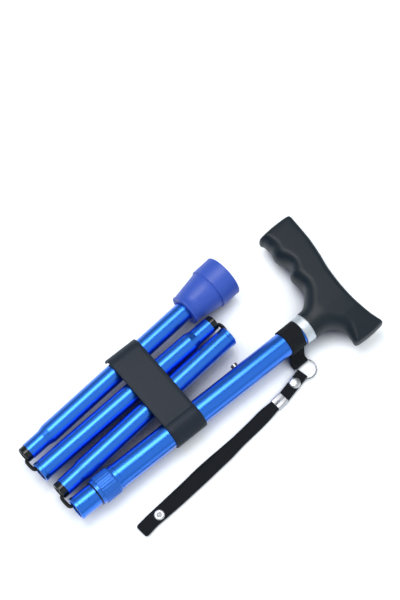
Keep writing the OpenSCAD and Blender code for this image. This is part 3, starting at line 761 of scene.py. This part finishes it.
def make_strap():
    lower = []
    higher = []
    for x in STRAP_STATIONS:
        end = clamp((x - 164) / 2)
        width = look_up(STRAP_WIDTHS, x) - 2.2 * (1 - math.sqrt(1 - end * end * 0.8))
        sway = look_up(STRAP_SWAY, x)
        apart = look_up(STRAP_SPREAD, x) / 2
        mid = -STRAP_DROP * ease(x, 11.4, 14)
        lower.append((x, sway - apart, mid - LAYER_GAP, width))
        higher.append((x, sway + apart, mid + LAYER_GAP, width))
    x, y, z, width = lower[-1]
    step = higher[-1][1] - y
    fold = []
    for share in (0.25, 0.5, 0.75):
        turn = math.pi * share
        height = z + LAYER_GAP * (1 - math.cos(turn))
        fold.append((x + LAYER_GAP * math.sin(turn), y + step * share, height, width - 0.3))
    rows = smooth_path(lower, 3).tolist() + fold + smooth_path(higher[::-1], 3).tolist()
    centres = [on_strap(*row[:3]) for row in rows]
    normals = path_normals(centres, STRAP_Y)
    widths = [row[3] for row in rows]
    obj = ribbon("strap_webbing", centres, STRAP_Y, normals, widths, STRAP_T, STRAP_EDGE, web_mat)
    finish_piece(obj, "wrist_strap", "webbing", "wrist_strap")


make_strap()

# Crimp: folded sheet metal, open at both ends, with two ridges on top
CRIMP_LEN = 11.0
CRIMP_HALF_W = 5.4
CRIMP_HALF_H = 2.1
CRIMP_MOUTH = (0.88, 0.66)


def round_off(y, radius):
    """How far a rounded edge of the crimp has dropped at y, as a share of its radius."""
    return 1 - math.sqrt(max(0, 1 - max(0, (abs(y) - CRIMP_HALF_W + radius) / radius) ** 2))


def make_crimp():
    outline = []
    for i in range(41):
        y = CRIMP_HALF_W * (1 - 2 * i / 40)
        groove = 0.75 * math.exp(-(y / 0.55) ** 2)
        crown = 0.25 * math.cos(math.pi * (abs(y) - CRIMP_HALF_W / 2) / CRIMP_HALF_W) - 0.25
        outline.append((y, CRIMP_HALF_H - 1.5 * round_off(y, 1.4) - groove + crown))
    for i in range(21):
        y = CRIMP_HALF_W * (2 * i / 20 - 1)
        outline.append((y, 1.4 * round_off(y, 1.2) - CRIMP_HALF_H))
    rings = []
    for x, shrink in ((0, 0.25), (0.25, 0.06), (0.6, 0)):
        rings.append((x, 1 - shrink / CRIMP_HALF_W, 1 - shrink / CRIMP_HALF_H))
    rings += [(CRIMP_LEN - x, wide, high) for x, wide, high in reversed(rings)]
    rings += [(CRIMP_LEN, *CRIMP_MOUTH), (0, *CRIMP_MOUTH)]
    verts = [on_strap(x, y * wide, z * high) * MM for x, wide, high in rings for y, z in outline]
    obj = make_mesh("crimp_folded", verts, ring_faces(len(rings), len(outline)), satin_mat)
    fix_normals(obj)
    finish_piece(obj, "wrist_strap", "fitting_chrome", "strap_crimp")


make_crimp()

# Lock nut: turned sleeve with fine grip ribs, and a skirt over the flange of the lock's sleeve
NUT_FROM = 24.5
NUT_TO = 40.3
NUT_R = 12.36
NUT_IN_R = 11.12
NUT_SKIRT_R = 11.55
NUT_SKIRT_TO = 26.4
NUT_RIBS = 26
NUT_RIB_STEPS = 10
NUT_GROOVE = 0.28
NUT_GROOVE_W = 0.16
# Section as (radius, mm along, share of the groove's depth)
NUT_ROWS = [
    (NUT_SKIRT_R, NUT_FROM, 0), (NUT_R - 0.5, NUT_FROM, 0), (NUT_R - 0.15, NUT_FROM + 0.15, 0.4),
    (NUT_R, NUT_FROM + 0.6, 1), (NUT_R, NUT_TO - 2.4, 1), (NUT_R - 0.1, NUT_TO - 1.9, 0.6),
    (NUT_R - 0.3, NUT_TO - 1.5, 0), (NUT_IN_R + 0.45, NUT_TO - 0.1, 0), (NUT_IN_R + 0.2, NUT_TO, 0),
    (NUT_IN_R, NUT_TO, 0), (NUT_IN_R, NUT_SKIRT_TO, 0), (NUT_SKIRT_R, NUT_SKIRT_TO, 0),
]


def make_nut():
    steps = NUT_RIBS * NUT_RIB_STEPS
    verts = []
    for radius, w, share in NUT_ROWS:
        for i in range(steps):
            turn = 2 * math.pi * i / steps
            spot = i % NUT_RIB_STEPS / NUT_RIB_STEPS
            groove = math.exp(-(min(spot, 1 - spot) / NUT_GROOVE_W) ** 2)
            out = radius - NUT_GROOVE * groove * share
            verts.append(upper(w, out * math.cos(turn), out * math.sin(turn)) * MM)
    obj = make_mesh("nut_ribbed", verts, ring_faces(len(NUT_ROWS), steps), nut_mat)
    fix_normals(obj)
    finish_piece(obj, "lock_nut", "lock_plastic", "lock_nut")


make_nut()


# Rivet: rolled flange round a hollow with a dot in it, and a flat head below
def make_rivet():
    foot, top, _ = stand("strap_rivet")
    profile = [
        (0, top - 0.18), (0.4, top - 0.2), (0.7, top - 0.3), (0.9, top - 0.55), (1.15, top - 0.64),
        (1.4, top - 0.56), (1.6, top - 0.34), (1.8, top - 0.14), (2.2, top - 0.03), (3.1, top),
        (3.8, top - 0.06), (4.35, top - 0.3), (4.6, top - 0.62), (4.6, top - 0.8), (4.4, top - 0.85),
        (2.8, top - 0.85), (2.8, 0.6), (4.5, 0.6), (4.6, 0.4), (4.5, 0.12), (4.2, 0.02), (0, 0),
    ]
    obj = lathe("rivet_rolled", foot, profile, satin_mat)
    finish_piece(obj, "wrist_strap", "fitting_chrome", "strap_rivet")


make_rivet()

# Ferrule: drawn collar between the band and the grip
FERRULE_ROWS = [
    (11.1, 241.4), (11.9, 241.4), (12.2, 241.55), (12.3, 241.9), (12.3, 247.6), (12.42, 248.0), (12.5, 248.6),
    (12.5, 250.4), (11.1, 250.4),
]
ferrule = turned("ferrule_drawn", FERRULE_ROWS, upper, ferrule_mat)
finish_piece(ferrule, "handle", "ferrule_metal", "handle_ferrule")

# Painted shade: a black ring below the lock's flange, standing in for the shade line there
SHADE_RING_ROWS = [
    (10.2, 20.3), (10.9, 20.3), (11.25, 20.45), (11.35, 20.75), (11.25, 21.05), (10.9, 21.18), (10.2, 21.18),
]
shade_ring = turned("lock_shade_ring", SHADE_RING_ROWS, upper, plug_mat)
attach(shade_ring, "lock_sleeve")

# Rubber tip: lip, cone, overhanging band, sole with ring grooves, and the bore
TIP_ROWS = [
    (9.0, 185.0), (13.7, 185.0), (14.25, 185.1), (14.5, 185.4), (14.5, 186.3), (14.35, 186.7),
    (14.08, 186.95), (15.4, 195), (16.9, 205), (18.1, 212.3), (17.9, 212.9), (17.9, 213.5), (19.1, 213.5),
    (19.35, 213.6), (19.4, 213.9), (19.4, 231.0), (19.55, 231.25), (19.55, 231.85), (19.35, 232.1),
    (18.9, 232.15), (13.7, 232.15), (13.7, 230.6), (11.8, 230.6), (11.8, 232.15), (8.4, 232.15),
    (8.4, 230.6), (6.5, 230.6), (6.5, 232.15), (0.02, 232.15), (0.02, 220.55), (9.0, 220.55),
]
tip = turned("tip_moulded", TIP_ROWS, in_tip, rubber_mat, 128)
finish_piece(tip, "tip_section", "tip_rubber", "rubber_tip")


# Snap cap: pressed dome with a rolled rim
def make_cap():
    foot, top, rim = stand("snap_cap")
    profile = [
        (0, top), (1, top - 0.02), (2, top - 0.09), (3, top - 0.22), (3.7, top - 0.38), (4.2, top - 0.58),
        (4.55, top - 0.82), (rim - 0.3, top - 1.15), (rim - 0.16, 0.5), (rim - 0.05, 0.38), (rim, 0.22),
        (rim - 0.08, 0.06), (rim - 0.3, 0.0), (0, 0),
    ]
    obj = lathe("cap_domed", foot, profile, cap_mat)
    finish_piece(obj, "wrist_strap", "fitting_chrome", "snap_cap")


make_cap()

# Split ring: two turns of flat wire
WIRE_R = 0.35
WIRE_FLAT = 1.65
WIRE_RISE = 0.6
WIRE_STEPS = 144


def make_ring():
    points = []
    for i in range(WIRE_STEPS + 1):
        share = i / WIRE_STEPS
        turn = 4 * math.pi * share + math.radians(20)
        spot = Vector((math.cos(turn) * RING_R, math.sin(turn) * RING_R, WIRE_RISE * (share - 0.5)))
        points.append(RING_MID + spot)
    obj = tube_sweep("ring_wire", points, WIRE_R, steel_mat, 16, WIRE_FLAT)
    finish_piece(obj, "split_ring", "fitting_chrome", "split_ring")


make_ring()

# Cord loops across the folds, flattened where they bend
LOOP_R = 2.4
LOOP_FLAT = 0.65
LOOP_BEND = 2.6
LOOP_TUCK = 4.2
LOOP_BOW = 0.2


def make_loop(name, middle, back, across, half_pitch, node):
    """A loop between two plugs: back points into the sections, across from the first body to the second."""
    out = LOOP_R * LOOP_FLAT + 0.05
    straight = half_pitch - LOOP_BEND - LOOP_TUCK
    bend = []
    for i in range(13):
        turn = math.pi / 2 * i / 12
        bend.append((LOOP_BEND * (1 - math.sin(turn)) - out, straight + LOOP_BEND * math.cos(turn)))
    run = []
    for i in range(1, 8):
        run.append((-out - LOOP_BOW * math.sin(math.pi * i / 8), straight * (1 - 2 * i / 8)))
    points = bend + run + [(x, -y) for x, y in reversed(bend)]
    path = [middle + back * x + across * y for x, y in points]
    obj = tube_sweep(name, path, LOOP_R, cord_mat, 24, LOOP_FLAT)
    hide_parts(node)
    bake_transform(obj)


def flat_point(x, y):
    return Vector((x, y, AXIS_H))


apex_run = (SECOND_Y - UPPER_Y) / math.tan(SPLAY)
half_splay = SPLAY / 2
bisector = Vector((math.cos(half_splay), -math.sin(half_splay), 0))
beside = Vector((math.sin(half_splay), math.cos(half_splay), 0))
first_fold = flat_point(FOLD_X - apex_run, SECOND_Y) + bisector * apex_run * math.cos(half_splay)
second_fold = flat_point(FOLD_X + SECTION_LEN, (SECOND_Y + THIRD_Y) / 2)
third_fold = flat_point(FOLD_X, (THIRD_LOW_Y + TIP_Y) / 2)
ALONG = Vector((1, 0, 0))
ASIDE = Vector((0, 1, 0))
make_loop("loop_upper", first_fold, bisector, beside, apex_run * math.sin(half_splay),
          "upper_loop")
make_loop("loop_second", second_fold, -ALONG, ASIDE, (THIRD_Y - SECOND_Y) / 2,
          "second_loop")
make_loop("loop_third", third_fold, ALONG, ASIDE, (TIP_Y - THIRD_LOW_Y) / 2,
          "third_loop")

# Cord inside the sections, as (name, start and way of the axis, mm to its end, body, node)
CORD_R = 1.98
CORD_IN = 0.7
CORD_STEPS = 40
third_from = flat_point(FOLD_X + SECTION_LEN, THIRD_Y)
third_turn = math.atan2(THIRD_LOW_Y - THIRD_Y, SECTION_LEN)
third_way = Vector((-math.cos(third_turn), math.sin(third_turn), 0))
CORD_RUNS = [
    ("cord_upper", upper(0, 0, 0), UPPER_WAY, 69.35, "upper_section", "upper_cord"),
    ("cord_second", flat_point(FOLD_X, SECOND_Y), ALONG, 195.3, "second_section", "second_cord"),
    ("cord_tip", flat_point(FOLD_X, TIP_Y), ALONG, 217.25, "tip_section", "tip_cord"),
    ("cord_third", third_from, third_way, 195.3, "third_section", "third_cord"),
]
for cord_name, cord_from, cord_way, cord_to, cord_body, cord_node in CORD_RUNS:
    cord_run = [CORD_IN + (cord_to - CORD_IN) * i / CORD_STEPS for i in range(CORD_STEPS + 1)]
    cord = tube_sweep(cord_name, [cord_from + cord_way * run for run in cord_run], CORD_R, cord_mat)
    finish_piece(cord, cord_body, "cord_fabric", cord_node)

# Table: white to the camera and in reflections, with painted shade where it is shut in between pieces: there
# ambient occlusion darkens its colour and takes its glow away
FLOOR_PAINTED_SHADE = (0.05, 0.08, 0.22)
FLOOR_OPEN = (0.88, 0.94, 1.0)
FLOOR_GLOW = 0.40
FLOOR_HALF = 6


def openness(tree, distance, shut, clear):
    """How open the table is within a distance: 0 at the shut share of open sky, 1 at the clear share."""
    sky_share = tree.nodes.new("ShaderNodeAmbientOcclusion")
    sky_share.inputs["Distance"].default_value = distance
    sky_share.samples = 16
    return ramp(tree, sky_share.outputs["AO"], 0, 1, shut, clear)


def make_table():
    mat, tree, shader = nodes_of("table_white")
    shader.inputs["Roughness"].default_value = 0.6
    shader.inputs["Specular IOR Level"].default_value = 0.1
    shader.inputs["Emission Color"].default_value = (1, 1, 1, 1)
    rays = tree.nodes.new("ShaderNodeLightPath")
    seen = math_node(tree, "MAXIMUM", rays.outputs["Is Camera Ray"], rays.outputs["Is Glossy Ray"])
    seen = math_node(tree, "MAXIMUM", seen, rays.outputs["Is Transmission Ray"])
    hollow = openness(tree, 0.05, 0.15, 0.62)
    narrow = openness(tree, 0.018, 0.25, 0.48)
    # Painted shade: the less open the table, the darker its colour and the less it glows
    clear = math_node(tree, "MULTIPLY", hollow, narrow)
    mix_colour(tree, shader, clear, FLOOR_PAINTED_SHADE, FLOOR_OPEN)
    glow = math_node(tree, "MULTIPLY", clear, FLOOR_GLOW)
    tree.links.new(math_node(tree, "MULTIPLY", seen, glow), shader.inputs["Emission Strength"])
    corners = [(x * FLOOR_HALF, y * FLOOR_HALF, 0) for x, y in ((-1, -1), (1, -1), (1, 1), (-1, 1))]
    floor = make_mesh("table_top", corners, [(0, 1, 2, 3)], mat, False)


make_table()

# Room light: brightest at the horizon, fading upwards
SKY_COLOUR = (0.92, 0.98, 1.0)
SKY_TOP = 0.24
SKY_HORIZON = 0.5
SKY_FADE = 0.5
world = bpy.data.worlds.new("room")
scene.world = world
world.use_nodes = True
sky = world.node_tree
sky_back = sky.nodes["Background"]
sky_back.inputs["Color"].default_value = (*SKY_COLOUR, 1)
sky_way = sky.nodes.new("ShaderNodeTexCoord")
sky_split = sky.nodes.new("ShaderNodeSeparateXYZ")
link(sky, sky_way, "Generated", sky_split, "Vector")
horizon = ramp(sky, sky_split.outputs["Z"], SKY_HORIZON, 0, 0, SKY_FADE)
sky.links.new(math_node(sky, "ADD", horizon, SKY_TOP), sky_back.inputs["Strength"])


# Lamps
def area_light(name, place, aim, size_x, size_y, power, colour):
    data = bpy.data.lights.new(name, "AREA")
    data.shape = "RECTANGLE"
    data.size = size_x
    data.size_y = size_y
    data.energy = power
    data.color = colour
    obj = bpy.data.objects.new(name, data)
    scene.collection.objects.link(obj)
    back = (Vector(place) - Vector(aim)).normalized()
    side = (ALONG - back * ALONG.dot(back)).normalized()
    turn = Matrix((side, back.cross(side), back)).transposed().to_4x4()
    obj.matrix_world = Matrix.Translation(place) @ turn


area_light("strip_top", (-0.01, 0.24, 1.0), (0, 0.02, 0.02), 0.71, 0.48, 6.4, (1, 0.98, 0.97))
area_light("fill_front", (0.2, -0.9, 1.0), (0, 0, 0), 2.4, 1.4, 6.6, SKY_COLOUR)
area_light("fill_back", (-0.3, 1.0, 1.1), (0, 0, 0), 1.6, 0.8, 1.8, SKY_COLOUR)

# Camera
CAMERA_AZ = math.radians(-44.5)
CAMERA_EL = math.radians(67)
CAMERA_AIM = Vector((46.53, 52.533, 19.0)) * MM
CAMERA_AWAY = 1.372
look = Vector((-math.sin(CAMERA_AZ) * math.cos(CAMERA_EL), math.cos(CAMERA_AZ) * math.cos(CAMERA_EL),
               -math.sin(CAMERA_EL)))
right = Vector((math.cos(CAMERA_AZ), math.sin(CAMERA_AZ), 0))
facing = Matrix((right, right.cross(look), -look)).transposed().to_4x4()
cam_data = bpy.data.cameras.new("camera")
cam_data.sensor_fit = "VERTICAL"
cam_data.sensor_height = 36
cam_data.lens = 96
cam_data.clip_start = 0.01
cam_data.clip_end = 20
camera = bpy.data.objects.new("camera", cam_data)
scene.collection.objects.link(camera)
camera.matrix_world = Matrix.Translation(CAMERA_AIM - look * CAMERA_AWAY) @ facing
scene.camera = camera
scene.view_settings.view_transform = "Standard"
